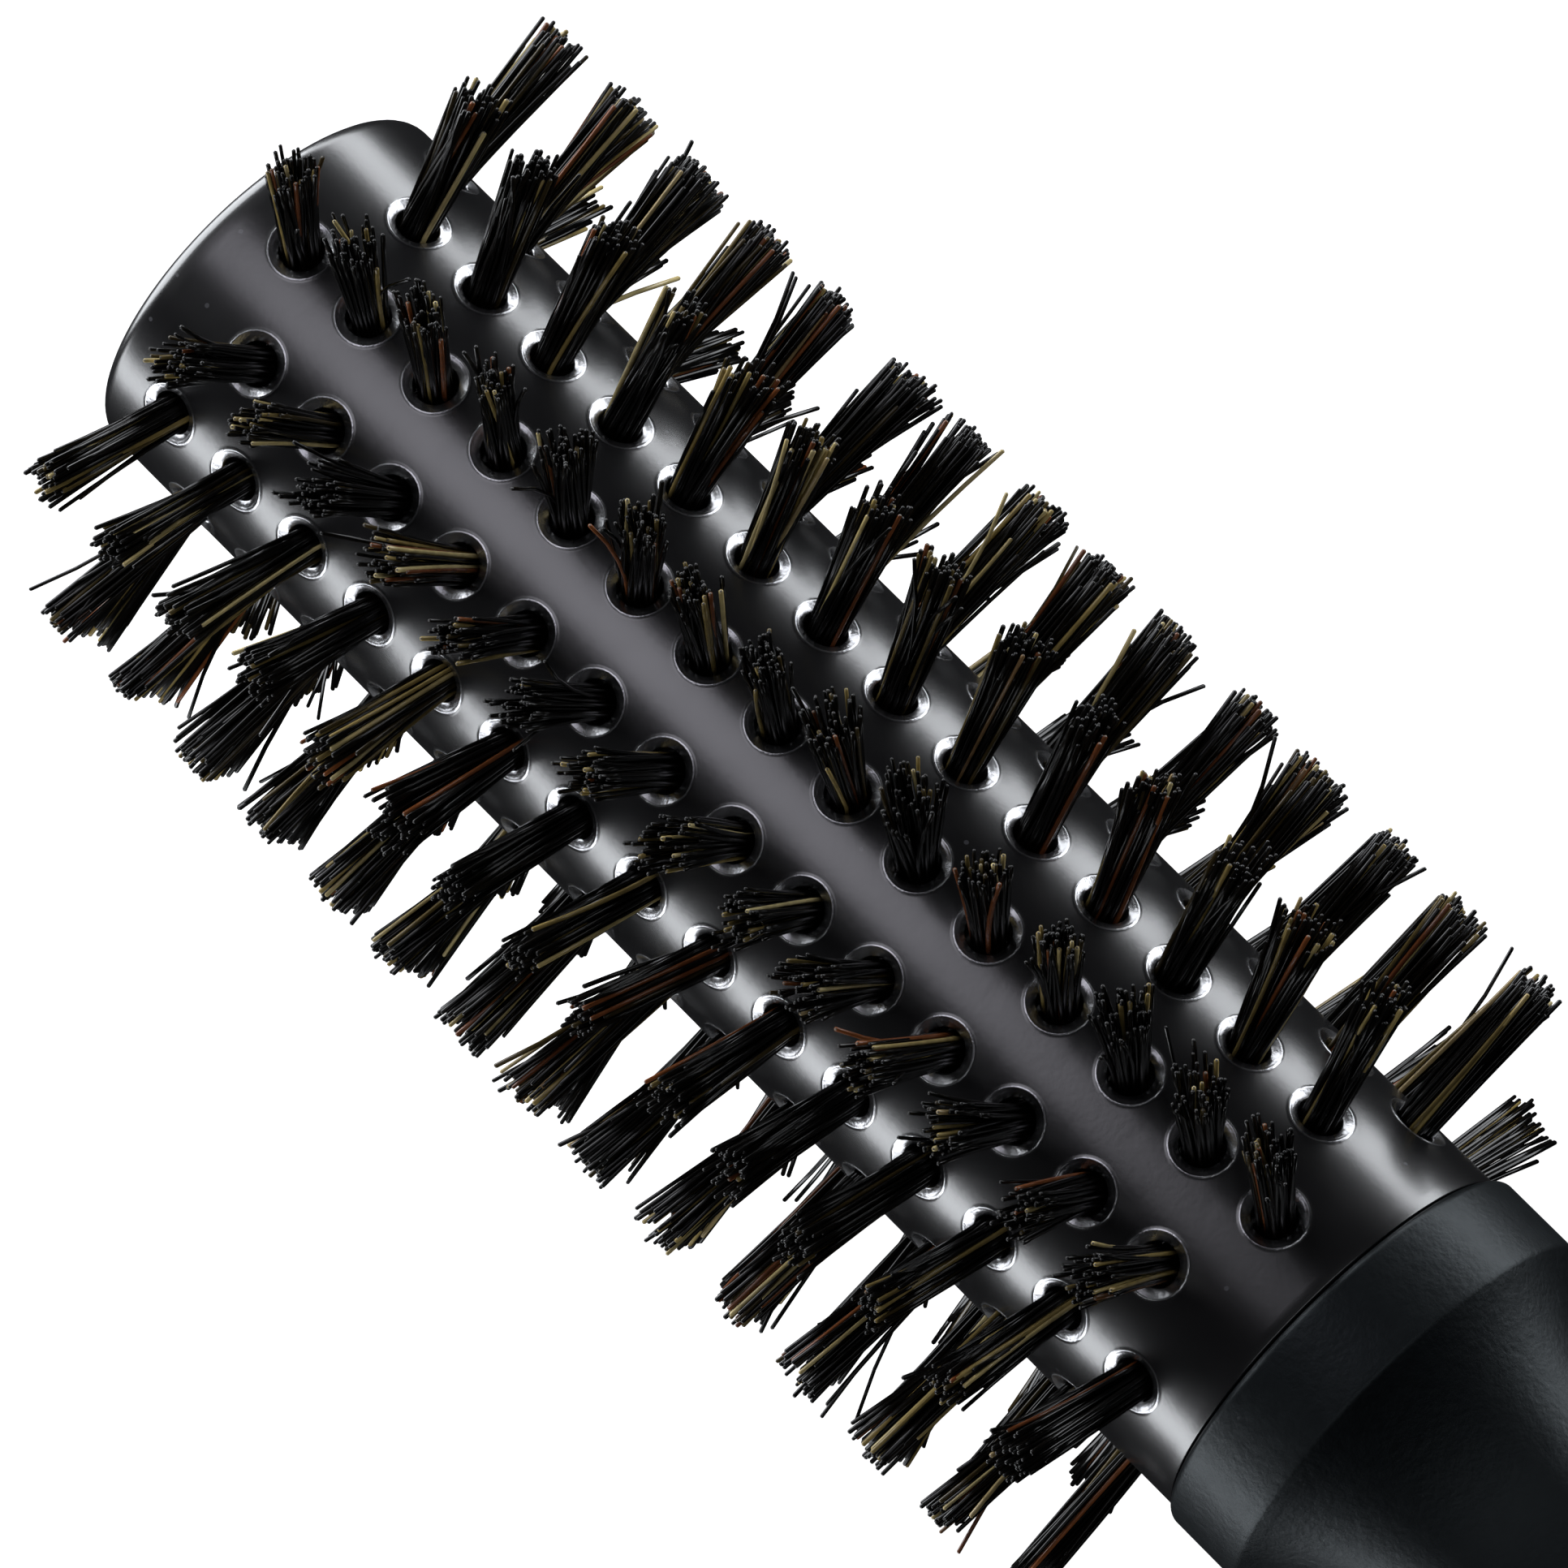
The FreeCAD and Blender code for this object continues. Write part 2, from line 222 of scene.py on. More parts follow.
def makeDustFlecks():
    # Sparse small specks: 1 where the distance to a cell's point is under size and the cell's
    # random number is over rarity, else 0.
    group, enter, leave = newGroup(
        "dustFlecks",
        [("Vector", "NodeSocketVector", None), ("Spacing", "NodeSocketFloat", 700.0),
         ("Size", "NodeSocketFloat", 0.12), ("Rarity", "NodeSocketFloat", 0.9)],
        [("Mask", "NodeSocketFloat")])
    link = group.links.new
    cells = node(group, "ShaderNodeTexVoronoi", feature="F1")
    near = node(group, "ShaderNodeMath", operation="LESS_THAN")
    chosen = node(group, "ShaderNodeMath", operation="GREATER_THAN")
    apart = node(group, "ShaderNodeSeparateColor")
    both = node(group, "ShaderNodeMath", operation="MULTIPLY")
    link(enter.outputs["Vector"], cells.inputs["Vector"])
    link(enter.outputs["Spacing"], cells.inputs["Scale"])
    link(cells.outputs["Distance"], near.inputs[0])
    link(enter.outputs["Size"], near.inputs[1])
    link(cells.outputs["Color"], apart.inputs[0])
    link(apart.outputs[0], chosen.inputs[0])
    link(enter.outputs["Rarity"], chosen.inputs[1])
    link(near.outputs[0], both.inputs[0])
    link(chosen.outputs[0], both.inputs[1])
    link(both.outputs[0], leave.inputs["Mask"])
    return group


surfaceGrain = makeSurfaceGrain()
dustFlecks = makeDustFlecks()


patchRange = (0.3, 0.7)  # values of a noise that get a skin's dark and light tones


def skinMaterial(name, look):
    # Dark coated skin: the grain's patches choose between dark and light and between the two
    # roughnesses, dust flecks lie over the colour, and the grain's height drives the bump.
    material, tree, shader = newMaterial(name)
    link = tree.links.new
    place = node(tree, "ShaderNodeTexCoord")
    grain = useGroup(tree, surfaceGrain, Fine=look["fine"], Broad=look["broad"], Share=look["share"])
    dust = useGroup(tree, dustFlecks, Spacing=look["dustSpacing"], Size=look["dustSize"],
                    Rarity=look["dustRarity"])
    for group in (grain, dust):
        link(place.outputs["Object"], group.inputs["Vector"])
    patchLow, patchHigh = patchRange
    colours = ramp(tree, [(patchLow, look["dark"]), (patchHigh, look["light"])])
    link(grain.outputs["Patches"], colours.inputs[0])
    dusty = node(tree, "ShaderNodeMix", data_type="RGBA")
    dusty.inputs[7].default_value = (*look["dustColour"], 1)
    link(dust.outputs["Mask"], dusty.inputs[0])
    link(colours.outputs[0], dusty.inputs[6])
    link(dusty.outputs[2], shader.inputs["Base Color"])
    rough = node(tree, "ShaderNodeMapRange")
    rough.inputs["To Min"].default_value = look["rough"][0]
    rough.inputs["To Max"].default_value = look["rough"][1]
    link(grain.outputs["Patches"], rough.inputs["Value"])
    link(rough.outputs[0], shader.inputs["Roughness"])
    bump = node(tree, "ShaderNodeBump", Strength=look["bump"], Distance=look["bumpDepth"])
    link(grain.outputs["Height"], bump.inputs["Height"])
    link(bump.outputs[0], shader.inputs["Normal"])
    shader.inputs["IOR"].default_value = look["ior"]
    shader.inputs["Metallic"].default_value = look.get("metallic", 0.0)
    shader.inputs["Specular Tint"].default_value = (*look.get("sheenTint", (1, 1, 1)), 1)
    return material


print("materials")
lacquerLook = dict(dark=(0.0024, 0.0023, 0.0027), light=(0.0036, 0.0034, 0.0040), ior=1.85,
                   fine=2600.0, broad=260.0, share=0.35, rough=(0.24, 0.28), bump=0.06,
                   bumpDepth=0.0001, dustSpacing=620.0, dustSize=0.10, dustRarity=0.93,
                   dustColour=(0.05, 0.05, 0.055))
sinkLook = dict(lacquerLook, dark=(0.26, 0.26, 0.27), light=(0.42, 0.42, 0.43), metallic=1.0,
                rough=(0.16, 0.36), bump=0.35, dustRarity=2.0)  # bright cut through the lacquer
rubberLook = dict(dark=(0.0006, 0.0012, 0.0018), light=(0.0010, 0.0019, 0.0026), ior=1.36,
                  fine=2600.0, broad=1100.0, share=0.45, rough=(0.40, 0.48), bump=0.40,
                  bumpDepth=0.00012, dustSpacing=900.0, dustSize=0.09, dustRarity=0.96,
                  dustColour=(0.02, 0.02, 0.022), sheenTint=(0.84, 0.95, 1.0))
steelLook = dict(dark=(0.42, 0.41, 0.40), light=(0.58, 0.57, 0.55), ior=1.5, metallic=1.0,
                 fine=4000.0, broad=700.0, share=0.4, rough=(0.28, 0.4), bump=0.1,
                 bumpDepth=0.00005, dustSpacing=900.0, dustSize=0.05, dustRarity=0.98,
                 dustColour=(0.2, 0.18, 0.16))
coreLook = dict(rubberLook, dark=(0.02, 0.02, 0.022), light=(0.03, 0.03, 0.032), ior=1.5)
lacquer = skinMaterial("satinLacquer", lacquerLook)
polishedSink = skinMaterial("polishedSink", sinkLook)
softRubber = skinMaterial("softRubber", rubberLook)
drawnSteel = skinMaterial("drawnSteel", steelLook)
mouldedCore = skinMaterial("mouldedCore", coreLook)

bristleLook = dict(
    tones=[(0.0, (0.0012, 0.0011, 0.0011)), (0.70, (0.0035, 0.0028, 0.0022)),
           (0.76, (0.060, 0.042, 0.014)), (0.86, (0.34, 0.25, 0.085)),
           (0.93, (0.56, 0.46, 0.22)), (0.94, (0.11, 0.034, 0.012)), (1.0, (0.22, 0.07, 0.022))],
    cutEnds=[(0.0, (0.003, 0.003, 0.003)), (0.35, (0.008, 0.008, 0.008)),
             (0.70, (0.04, 0.038, 0.035)), (1.0, (0.14, 0.12, 0.09))],
    ior=1.42, rough=(0.11, 0.24), cutRough=0.35, streakScale=900.0, streakShade=(0.55, 1.45))


def bristleMaterial(look):
    # Natural bristle: a hair's tone is looked up by its own number and scaled by a noise, and
    # its cut end gets its own tones and roughness.
    material, tree, shader = newMaterial("naturalBristle")
    link = tree.links.new
    tone = node(tree, "ShaderNodeAttribute", attribute_name="hairTone")
    end = node(tree, "ShaderNodeAttribute", attribute_name="cutEnd")
    place = node(tree, "ShaderNodeTexCoord")
    streak = node(tree, "ShaderNodeTexNoise", Scale=look["streakScale"], Detail=2.0)
    link(place.outputs["Object"], streak.inputs["Vector"])
    colours = ramp(tree, look["tones"])
    link(tone.outputs["Fac"], colours.inputs[0])
    vary = node(tree, "ShaderNodeMapRange")
    vary.inputs["To Min"].default_value = look["streakShade"][0]
    vary.inputs["To Max"].default_value = look["streakShade"][1]
    link(streak.outputs["Fac"], vary.inputs["Value"])
    shade = node(tree, "ShaderNodeVectorMath", operation="SCALE")
    link(colours.outputs[0], shade.inputs[0])
    link(vary.outputs[0], shade.inputs["Scale"])
    cut = node(tree, "ShaderNodeMix", data_type="RGBA")
    pith = ramp(tree, look["cutEnds"])
    link(tone.outputs["Fac"], pith.inputs[0])
    link(end.outputs["Fac"], cut.inputs[0])
    link(shade.outputs[0], cut.inputs[6])
    link(pith.outputs[0], cut.inputs[7])
    link(cut.outputs[2], shader.inputs["Base Color"])
    rough = node(tree, "ShaderNodeMapRange")
    rough.inputs["To Min"].default_value = look["rough"][0]
    rough.inputs["To Max"].default_value = look["rough"][1]
    link(streak.outputs["Fac"], rough.inputs["Value"])
    sawn = node(tree, "ShaderNodeMix", data_type="FLOAT")
    link(end.outputs["Fac"], sawn.inputs[0])
    link(rough.outputs[0], sawn.inputs[2])
    sawn.inputs[3].default_value = look["cutRough"]
    link(sawn.outputs[0], shader.inputs["Roughness"])
    shader.inputs["IOR"].default_value = look["ior"]
    return material


naturalBristle = bristleMaterial(bristleLook)


barrelShape = dict(tipRound=1.2, holeRadius=1.45, sinkWidth=0.65, sinkDepth=0.30, sinkStart=0.3,
                   holeDepth=6.5, lipRound=0.10, beadRise=0.035, rearRound=0.12, spigotRadius=7.5,
                   boreRadius=3.03, spigotLength=9.0, boreDepth=48.0, sideSteps=8,
                   skinShares=(0, 0.3, 0.6, 0.85), skinReach=4, lipRings=(3, 1),
                   beadRings=((0.4, 1.0), (-0.2, 0.8)), mouthShares=(0.0, 0.2, 0.45, 0.7, 0.9, 1.0),
                   mouthEnd=0.3, wallShares=(0.0, 0.4, 1.0), tipFaceRings=(0, 4, 8, 11),
                   tipSteps=7, rearSteps=3, tipRings=3, rearRings=4)
tuftShape = dict(baseRadius=1.30, tipRadius=2.45, count=54, sides=6, hairRadius=0.16)


def cellLoop(halfAngle, halfPitch, steps):
    # The four sides of a cell round one hole, as (angle, height) pairs, anticlockwise.
    step = np.linspace(-1, 1, steps + 1)[:-1]
    one = np.ones(steps)
    angle = np.concatenate([step, one, -step, -one]) * halfAngle
    height = np.concatenate([-one, step, one, -step]) * halfPitch
    return angle, height


def holeCells(azimuth, heights, pitch, shape):
    # Barrel surface round each hole of a row, its countersink and its wall.
    # Rings run from the cell's four sides to the countersink's round edge, down its bell mouth,
    # down the hole and to its bottom. Across and up are measured from the hole's axis; on the
    # barrel the distance out is sqrt(radius^2 - across^2). In the bell mouth, share y of its
    # width inwards, it is less by depth * (sinkStart * y + (1 - sinkStart) * y^2). A low bead
    # stands round the edge: each of its rings is a share of the lip past the edge, and rises
    # by a share of the bead's height.
    radius = barrelRadius
    hole, width = shape["holeRadius"] * mm, shape["sinkWidth"] * mm
    lip = shape["lipRound"] * mm

    def level(ring):
        return np.sqrt(radius**2 - ring[:, 0]**2)

    def sunk(inward):
        start = shape["sinkStart"]
        return shape["sinkDepth"] * mm * (start * inward + (1 - start) * inward**2)

    angle, up = cellLoop(rowAngle / 2, pitch / 2, shape["sideSteps"])
    side = np.stack([radius * np.sin(angle), up], 1)
    bearing = np.arctan2(side[:, 1], side[:, 0])
    ray = np.stack([np.cos(bearing), np.sin(bearing)], 1)
    rim = hole + width
    rings = [side * (1 - share) + ray * (rim + shape["skinReach"] * lip) * share
             for share in shape["skinShares"]]
    rings += [ray * (rim + past * lip) for past in shape["lipRings"]]
    flat = [(ring, level(ring)) for ring in rings]
    bead = shape["beadRise"] * mm
    mouth = [(ray * (rim + past * lip), level(ray * (rim + past * lip)) + rise * bead)
             for past, rise in shape["beadRings"]]
    for share in shape["mouthShares"]:
        distance = (rim - lip) * (1 - share) + (hole + shape["mouthEnd"] * lip) * share
        mouth.append((ray * distance, level(ray * distance) - sunk((rim - distance) / width)))
    bottom = radius - shape["holeDepth"] * mm
    top = level(ray * hole) - shape["sinkDepth"] * mm - lip
    wall = [(ray * hole, top * (1 - share) + bottom * share) for share in shape["wallShares"]]
    stacked = flat + mouth + wall
    across = np.array([ring[:, 0] for ring, _ in stacked])
    along = np.array([ring[:, 1] for ring, _ in stacked])
    out = np.array([height for _, height in stacked])
    centre = np.array([[0.0, 0.0, bottom]])
    local = np.stack([across, along, out], -1).reshape(-1, 3)
    local = np.concatenate([local, centre])
    outward = np.array([math.cos(azimuth), math.sin(azimuth), 0])
    sideways = np.array([-math.sin(azimuth), math.cos(azimuth), 0])
    upward = np.array([0, 0, 1.0])
    one = local[:, :1] * sideways + local[:, 1:2] * upward + local[:, 2:] * outward
    points = one[None] + heights[:, None, None] * upward
    rows, columns = across.shape
    index = np.arange(rows * columns).reshape(rows, columns)
    quads = gridFaces(index, wrap=True)
    last = index[-1]
    fan = np.stack([last, np.roll(last, -1), np.full(columns, rows * columns)], 1)
    kinds = np.repeat(np.arange(rows - 1) >= len(flat) - 1, columns).astype(int)
    shift = (np.arange(len(heights)) * len(local))[:, None, None]
    return (points.reshape(-1, 3), (quads + shift).reshape(-1, 4), (fan + shift).reshape(-1, 3),
            np.tile(kinds, len(heights)))


def plainStrip(azimuth, halfAngle, steps, heights):
    # Barrel surface with no hole: point = radius at each angle and height of the grid.
    angle = azimuth + np.linspace(-halfAngle, halfAngle, steps + 1)
    rows, columns = len(heights), steps + 1
    grid = np.stack([np.broadcast_to(barrelRadius * np.cos(angle), (rows, columns)),
                     np.broadcast_to(barrelRadius * np.sin(angle), (rows, columns)),
                     np.broadcast_to(heights[:, None], (rows, columns))], -1)
    return grid.reshape(-1, 3), gridFaces(np.arange(rows * columns).reshape(rows, columns))


def makeBarrel(shape):
    # For each row, one cell round each hole and plain strips to the barrel's two ends. A short
    # row starts and ends half a pitch further in and gets two more strips there. The tip, and
    # the rear with its spigot and bore, are surfaces of revolution with the same columns.
    steps = shape["sideSteps"]
    halfAngle = rowAngle / 2
    radius = barrelRadius
    points, quads, triangles, marks = [], [], [], []
    total = 0

    def take(newPoints, newQuads, newTriangles=None, newMarks=None):
        nonlocal total
        points.append(newPoints)
        quads.append(newQuads + total)
        marks.append(np.zeros(len(newQuads), int) if newMarks is None else newMarks)
        if newTriangles is not None:
            triangles.append(newTriangles + total)
        total += len(newPoints)

    firstHeights = tuftRow(rowNames[0])[1]
    pitch = firstHeights[1] - firstHeights[0]
    low, high = firstHeights[0] - pitch / 2, firstHeights[-1] + pitch / 2
    step = pitch / steps
    tip = shape["tipRound"] * mm
    rear = seamHeight - shape["rearRound"] * mm
    for name in rowNames:
        azimuth, heights, _ = tuftRow(name)
        take(*holeCells(azimuth, heights, pitch, shape))
        bottomGap = heights[0] - pitch / 2 - low
        if bottomGap > step / 2:
            extra = int(round(bottomGap / step))
            take(*plainStrip(azimuth, halfAngle, steps, low + step * np.arange(extra + 1)))
            take(*plainStrip(azimuth, halfAngle, steps, high - step * np.arange(extra, -1, -1)))
        take(*plainStrip(azimuth, halfAngle, steps, np.linspace(tip, low, shape["tipRings"])))
        take(*plainStrip(azimuth, halfAngle, steps, np.linspace(high, rear, shape["rearRings"])))

    columns = len(rowNames) * steps
    azimuth = tuftRow(rowNames[0])[0]
    spin = np.array([[math.cos(azimuth - halfAngle), math.sin(azimuth - halfAngle)],
                     [-math.sin(azimuth - halfAngle), math.cos(azimuth - halfAngle)]])
    tipFace = np.array([[ring, 0] for ring in shape["tipFaceRings"]]) * mm
    nose = arc((radius - tip, tip), tip, -90, 0, shape["tipSteps"])
    rearRound = shape["rearRound"] * mm
    back = arc((radius - rearRound, rear), rearRound, 0, 90, shape["rearSteps"])
    spigot, bore = shape["spigotRadius"] * mm, shape["boreRadius"] * mm
    end = seamHeight + shape["spigotLength"] * mm
    inner = np.array([[spigot, seamHeight], [spigot, end], [bore, end],
                      [bore, end - shape["boreDepth"] * mm], [0, end - shape["boreDepth"] * mm]])
    for profile in (np.concatenate([tipFace, nose]), np.concatenate([back, inner])):
        turned = turnProfile(profile, columns)
        turned[..., :2] = turned[..., :2] @ spin
        index = np.arange(turned.shape[0] * columns).reshape(-1, columns)
        take(turned.reshape(-1, 3), gridFaces(index, wrap=True))
    quads, marks = np.concatenate(quads), np.concatenate(marks)
    parts = [quads[marks == 0], quads[marks == 1], np.concatenate(triangles)]
    welded, faces, sources = weld(np.concatenate(points), parts)
    # every part but the first is a countersink, a hole's wall or its bottom
    inSink = np.concatenate([np.full(len(f), source > 0) for f, source in zip(faces, sources)])
    piece = makePiece("barrelShell", welded, faces, (lacquer, polishedSink), inSink)
    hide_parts("barrel")
    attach(piece, "root")
    return piece


print("barrel")
makeBarrel(barrelShape)


sleeveShape = dict(frontRound=0.6, bandEnd=6.2, creaseRound=0.8, flareLength=17.8, neckRadius=8.8,
                   gripRise=56.0, gripRadius=11.4, tailRun=52.0, tailRadius=8.0, wall=1.6,
                   columns=144, frontSteps=8, bandRings=4, bandMargin=0.6, creaseSteps=5,
                   creaseGap=0.1, flareSteps=24, gripSteps=14, poleSteps=12)


def swell(startRadius, start, endRadius, end, steps):
    # Two equal arcs that meet halfway, upright at both ends. With half the rise r and half the
    # run h, their radius is c = (h^2 + r^2) / 2r, and across changes by c - sqrt(c^2 - up^2).
    halfRise, halfRun = abs(endRadius - startRadius) / 2, (end - start) / 2
    curve = (halfRun**2 + halfRise**2) / (2 * halfRise)
    t = np.linspace(0, 1, steps + 1)
    fromStart = curve - np.sqrt(curve**2 - (t * halfRun)**2)
    fromEnd = fromStart[::-1][1:]
    sign = 1 if endRadius > startRadius else -1
    across = np.concatenate([startRadius + sign * fromStart, endRadius - sign * fromEnd])
    up = np.concatenate([start + t * halfRun, end - (t * halfRun)[::-1][1:]])
    return np.stack([across, up], 1)


def flare(neckRadius, neck, edgeRadius, edge, steps):
    # One hollow arc from the crease to the neck, upright at the neck. With the rise r and the
    # run h, its radius is c = (h^2 + r^2) / 2r, and at a distance d from the neck, across is
    # the neck's radius plus c - sqrt(c^2 - d^2).
    rise, run = edgeRadius - neckRadius, neck - edge
    curve = (run**2 + rise**2) / (2 * rise)
    up = edge + (neck - edge) * np.linspace(0, 1, steps + 1)
    across = neckRadius + curve - np.sqrt(curve**2 - (neck - up)**2)
    return np.stack([across, up], 1)


def sleeveProfile(shape, inset):
    # Outside of the handle, with every radius less by inset, from the crease to its pole:
    # a flare, a swell out to the grip, a swell in to the tail, and a quarter circle.
    crease = seamHeight + shape["bandEnd"] * mm
    neck = crease + shape["flareLength"] * mm
    grip = neck + shape["gripRise"] * mm
    tail = grip + shape["tailRun"] * mm
    outer = collarRadius - inset
    neckRadius, gripRadius = shape["neckRadius"] * mm - inset, shape["gripRadius"] * mm - inset
    tailRadius = shape["tailRadius"] * mm - inset
    steps = shape["gripSteps"]
    parts = [flare(neckRadius, neck, outer, crease, shape["flareSteps"])[1:],
             swell(neckRadius, neck, gripRadius, grip, steps)[1:],
             swell(gripRadius, grip, tailRadius, tail, steps)[1:],
             arc((0, tail), tailRadius, 0, 90, shape["poleSteps"])[1:]]
    parts[-1][-1, 0] = 0
    return outer, crease, np.concatenate(parts)


def roundedCrease(outer, crease, hollow, size, steps):
    # Points of a small arc that replaces the corner between the band and the flare. It touches
    # both, and starts size * tan(half the turn) before the corner.
    direction = hollow - np.array([outer, crease])
    direction /= np.linalg.norm(direction)
    turn = math.acos(direction[1])
    reach = size * math.tan(turn / 2)
    angle = np.linspace(0, turn, steps + 1)
    centre = np.array([outer - size, crease - reach])
    return np.stack([centre[0] + size * np.cos(angle), centre[1] + size * np.sin(angle)], 1)


def makeSleeve(shape):
    # Surface of revolution of one closed profile: rounded front edge, band, crease, outside,
    # and back along the inside, which is the outside with every radius less by the wall.
    outer, crease, rest = sleeveProfile(shape, 0)
    size = shape["frontRound"] * mm
    corner = arc((outer - size, sleeveFront + size), size, -90, 0, shape["frontSteps"])
    bandEnds = sleeveFront + size, crease - shape["bandMargin"] * mm
    bandUp = np.linspace(*bandEnds, shape["bandRings"] + 2)[1:-1]
    band = np.stack([np.full(len(bandUp), outer), bandUp], 1)
    edge = roundedCrease(outer, crease, rest[1], shape["creaseRound"] * mm, shape["creaseSteps"])
    past = rest[:, 1] > edge[-1, 1] + shape["creaseGap"] * mm
    outside = np.concatenate([corner, band, edge, rest[past]])
    wall = shape["wall"] * mm
    innerRadius, innerCrease, inside = sleeveProfile(shape, wall)
    innerFront = np.array([[innerRadius, sleeveFront]])
    innerCorner = np.array([[innerRadius, innerCrease]])
    profile = np.concatenate([innerFront, outside, inside[::-1], innerCorner, innerFront])
    turned = turnProfile(profile, shape["columns"])
    index = np.arange(turned.shape[0] * shape["columns"]).reshape(-1, shape["columns"])
    points, faces, _ = weld(turned.reshape(-1, 3), [gridFaces(index, wrap=True)])
    piece = makePiece("softSleeve", points, faces, (softRubber,))
    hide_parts("grip_sleeve")
    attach(piece, "root")
    return piece


print("sleeve")
makeSleeve(sleeveShape)


bristleShape = dict(rootDepth=2.6, lengthSpread=0.7, shortShare=0.12, shortBy=(0.4, 2.6),
                    lean=0.34, clumps=7, clumpSeat=0.6, clumpLean=0.30, spread=0.14, bend=0.20,
                    strayShare=0.035, strayBend=1.2, strayExtra=0.3, rootJitter=0.05,
                    opening=(0.0, 0.75), openingSpread=(0.7, 1.15), stations=(0.22, 0.46, 0.73),
                    tipTaper=0.92, cutRound=0.08, cutShare=0.5, thickness=(0.82, 1.12),
                    golden=0.15, goldenSpread=(0.3, 1.7), darkEnd=0.70, fairStart=0.72)
goldenAngle = math.pi * (3 - math.sqrt(5))
dice = np.random.default_rng(41)


def makeBristleRow(name, shape, tuft):
    # All hairs of a row as tubes. A hair starts on a sunflower pattern in its hole: number n
    # stands at n * golden angle, sqrt(n / count) of the way out. Above the barrel its axis moves
    # sideways by slope * t + bend * t^2, where t runs from 0 at the barrel to 1 at its cut tip.
    azimuth, heights, reach = tuftRow(name)
    tufts, hairs, sides = len(heights), tuft["count"], tuft["sides"]
    size = (tufts, hairs)
    number = np.arange(hairs)[None] + 0.5
    bearing = number * goldenAngle + dice.uniform(0, fullTurn, (tufts, 1))
    distance = (tuft["baseRadius"] - tuft["hairRadius"]) * np.sqrt(number / hairs)
    root = np.stack([distance * np.cos(bearing), distance * np.sin(bearing)], -1)
    root += dice.normal(0, shape["rootJitter"], root.shape)
    opening = dice.uniform(*shape["opening"], (tufts, 1, 1))
    opening = opening * dice.uniform(*shape["openingSpread"], size)[..., None]
    splay = root * (tuft["tipRadius"] / tuft["baseRadius"] - 1) * opening
    lean = dice.normal(0, shape["lean"], (tufts, 1, 2))
    clumps = shape["clumps"]
    # hairs near each other share a clump: the clump's seat nearest to a root pulls it
    seat = dice.normal(0, tuft["baseRadius"] * shape["clumpSeat"], (tufts, 1, clumps, 2))
    clump = np.argmin(((root[:, :, None] - seat)**2).sum(-1), 2)
    pull = dice.normal(0, shape["clumpLean"], (tufts, clumps, 2))
    pull = np.take_along_axis(pull, clump[..., None], 1)
    slope = splay + lean + pull + dice.normal(0, shape["spread"], root.shape)
    stray = dice.random(size) < shape["strayShare"]
    bendSize = np.where(stray, shape["strayBend"], shape["bend"])[..., None]
    bend = dice.normal(0, 1, root.shape) * bendSize
    full = (reach - barrelRadius) / mm
    length = full - np.abs(dice.normal(0, shape["lengthSpread"], size))
    short = dice.random(size) < shape["shortShare"]
    length -= np.where(short, dice.uniform(*shape["shortBy"], size), 0)
    length += np.where(stray, shape["strayExtra"], 0)
    t = np.array([-shape["rootDepth"] / full, 0.0, *shape["stations"], 1.0,
                  1.0 + shape["cutRound"] / full])
    above = np.clip(t, 0, 1)
    rise = above[:, None]
    path = root[..., None, :] + slope[..., None, :] * rise + bend[..., None, :] * rise**2
    out = barrelRadius / mm + length[..., None] * t
    thick = tuft["hairRadius"] * dice.uniform(*shape["thickness"], size)[..., None]
    thick = thick * np.where(t > 1, shape["cutShare"], 1 - (1 - shape["tipTaper"]) * above)
    turn = np.arange(sides) * fullTurn / sides
    across = path[..., 0, None] + thick[..., None] * np.cos(turn)
    up = path[..., 1, None] + thick[..., None] * np.sin(turn)
    out = np.broadcast_to(out[..., None], across.shape)
    outward = np.array([math.cos(azimuth), math.sin(azimuth), 0])
    sideways = np.array([-math.sin(azimuth), math.cos(azimuth), 0])
    points = (across[..., None] * sideways + out[..., None] * outward) * mm
    points[..., 2] += up * mm + heights[:, None, None, None]
    rings = len(t)
    perHair = rings * sides
    index = np.arange(perHair).reshape(rings, sides)
    quads = gridFaces(index, wrap=True)
    caps = np.stack([index[0][::-1], index[-1]])
    shift = (np.arange(tufts * hairs) * perHair)[:, None, None]
    faces = [(quads + shift).reshape(-1, 4), (caps + shift).reshape(-1, sides)]
    piece = makePiece("bristles" + name, points.reshape(-1, 3), faces, (naturalBristle,))
    luck = dice.random(size)
    dark = 1 - shape["golden"] * dice.uniform(*shape["goldenSpread"], (tufts, 1))
    fair = shape["fairStart"] + (1 - shape["fairStart"]) * dice.random(size)
    tone = np.where(luck >= dark, fair, luck * shape["darkEnd"] / dark)
    tones = np.broadcast_to(tone[..., None, None], (*size, rings, sides))
    cutEnd = np.repeat([0.0, 1.0], [faces[0].size, faces[1].size])
    for label, domain, values in (("hairTone", "POINT", tones), ("cutEnd", "CORNER", cutEnd)):
        layer = piece.data.attributes.new(label, "FLOAT", domain)
        layer.data.foreach_set("value", values.astype(np.float32).ravel())
    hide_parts("tuft_row_" + name)
    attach(piece, "root")
    return piece


for rowName in rowNames:
    makeBristleRow(rowName, bristleShape, tuftShape)
print("bristles")


def dress(nodeName, material):
    # Every material slot of a CAD node gets the one material.
    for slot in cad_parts[nodeName].material_slots:
        slot.material = material


for rowName in rowNames:
    dress("anchor_row_" + rowName, drawnSteel)
dress("tang_rod", drawnSteel)
dress("handle_core", mouldedCore)


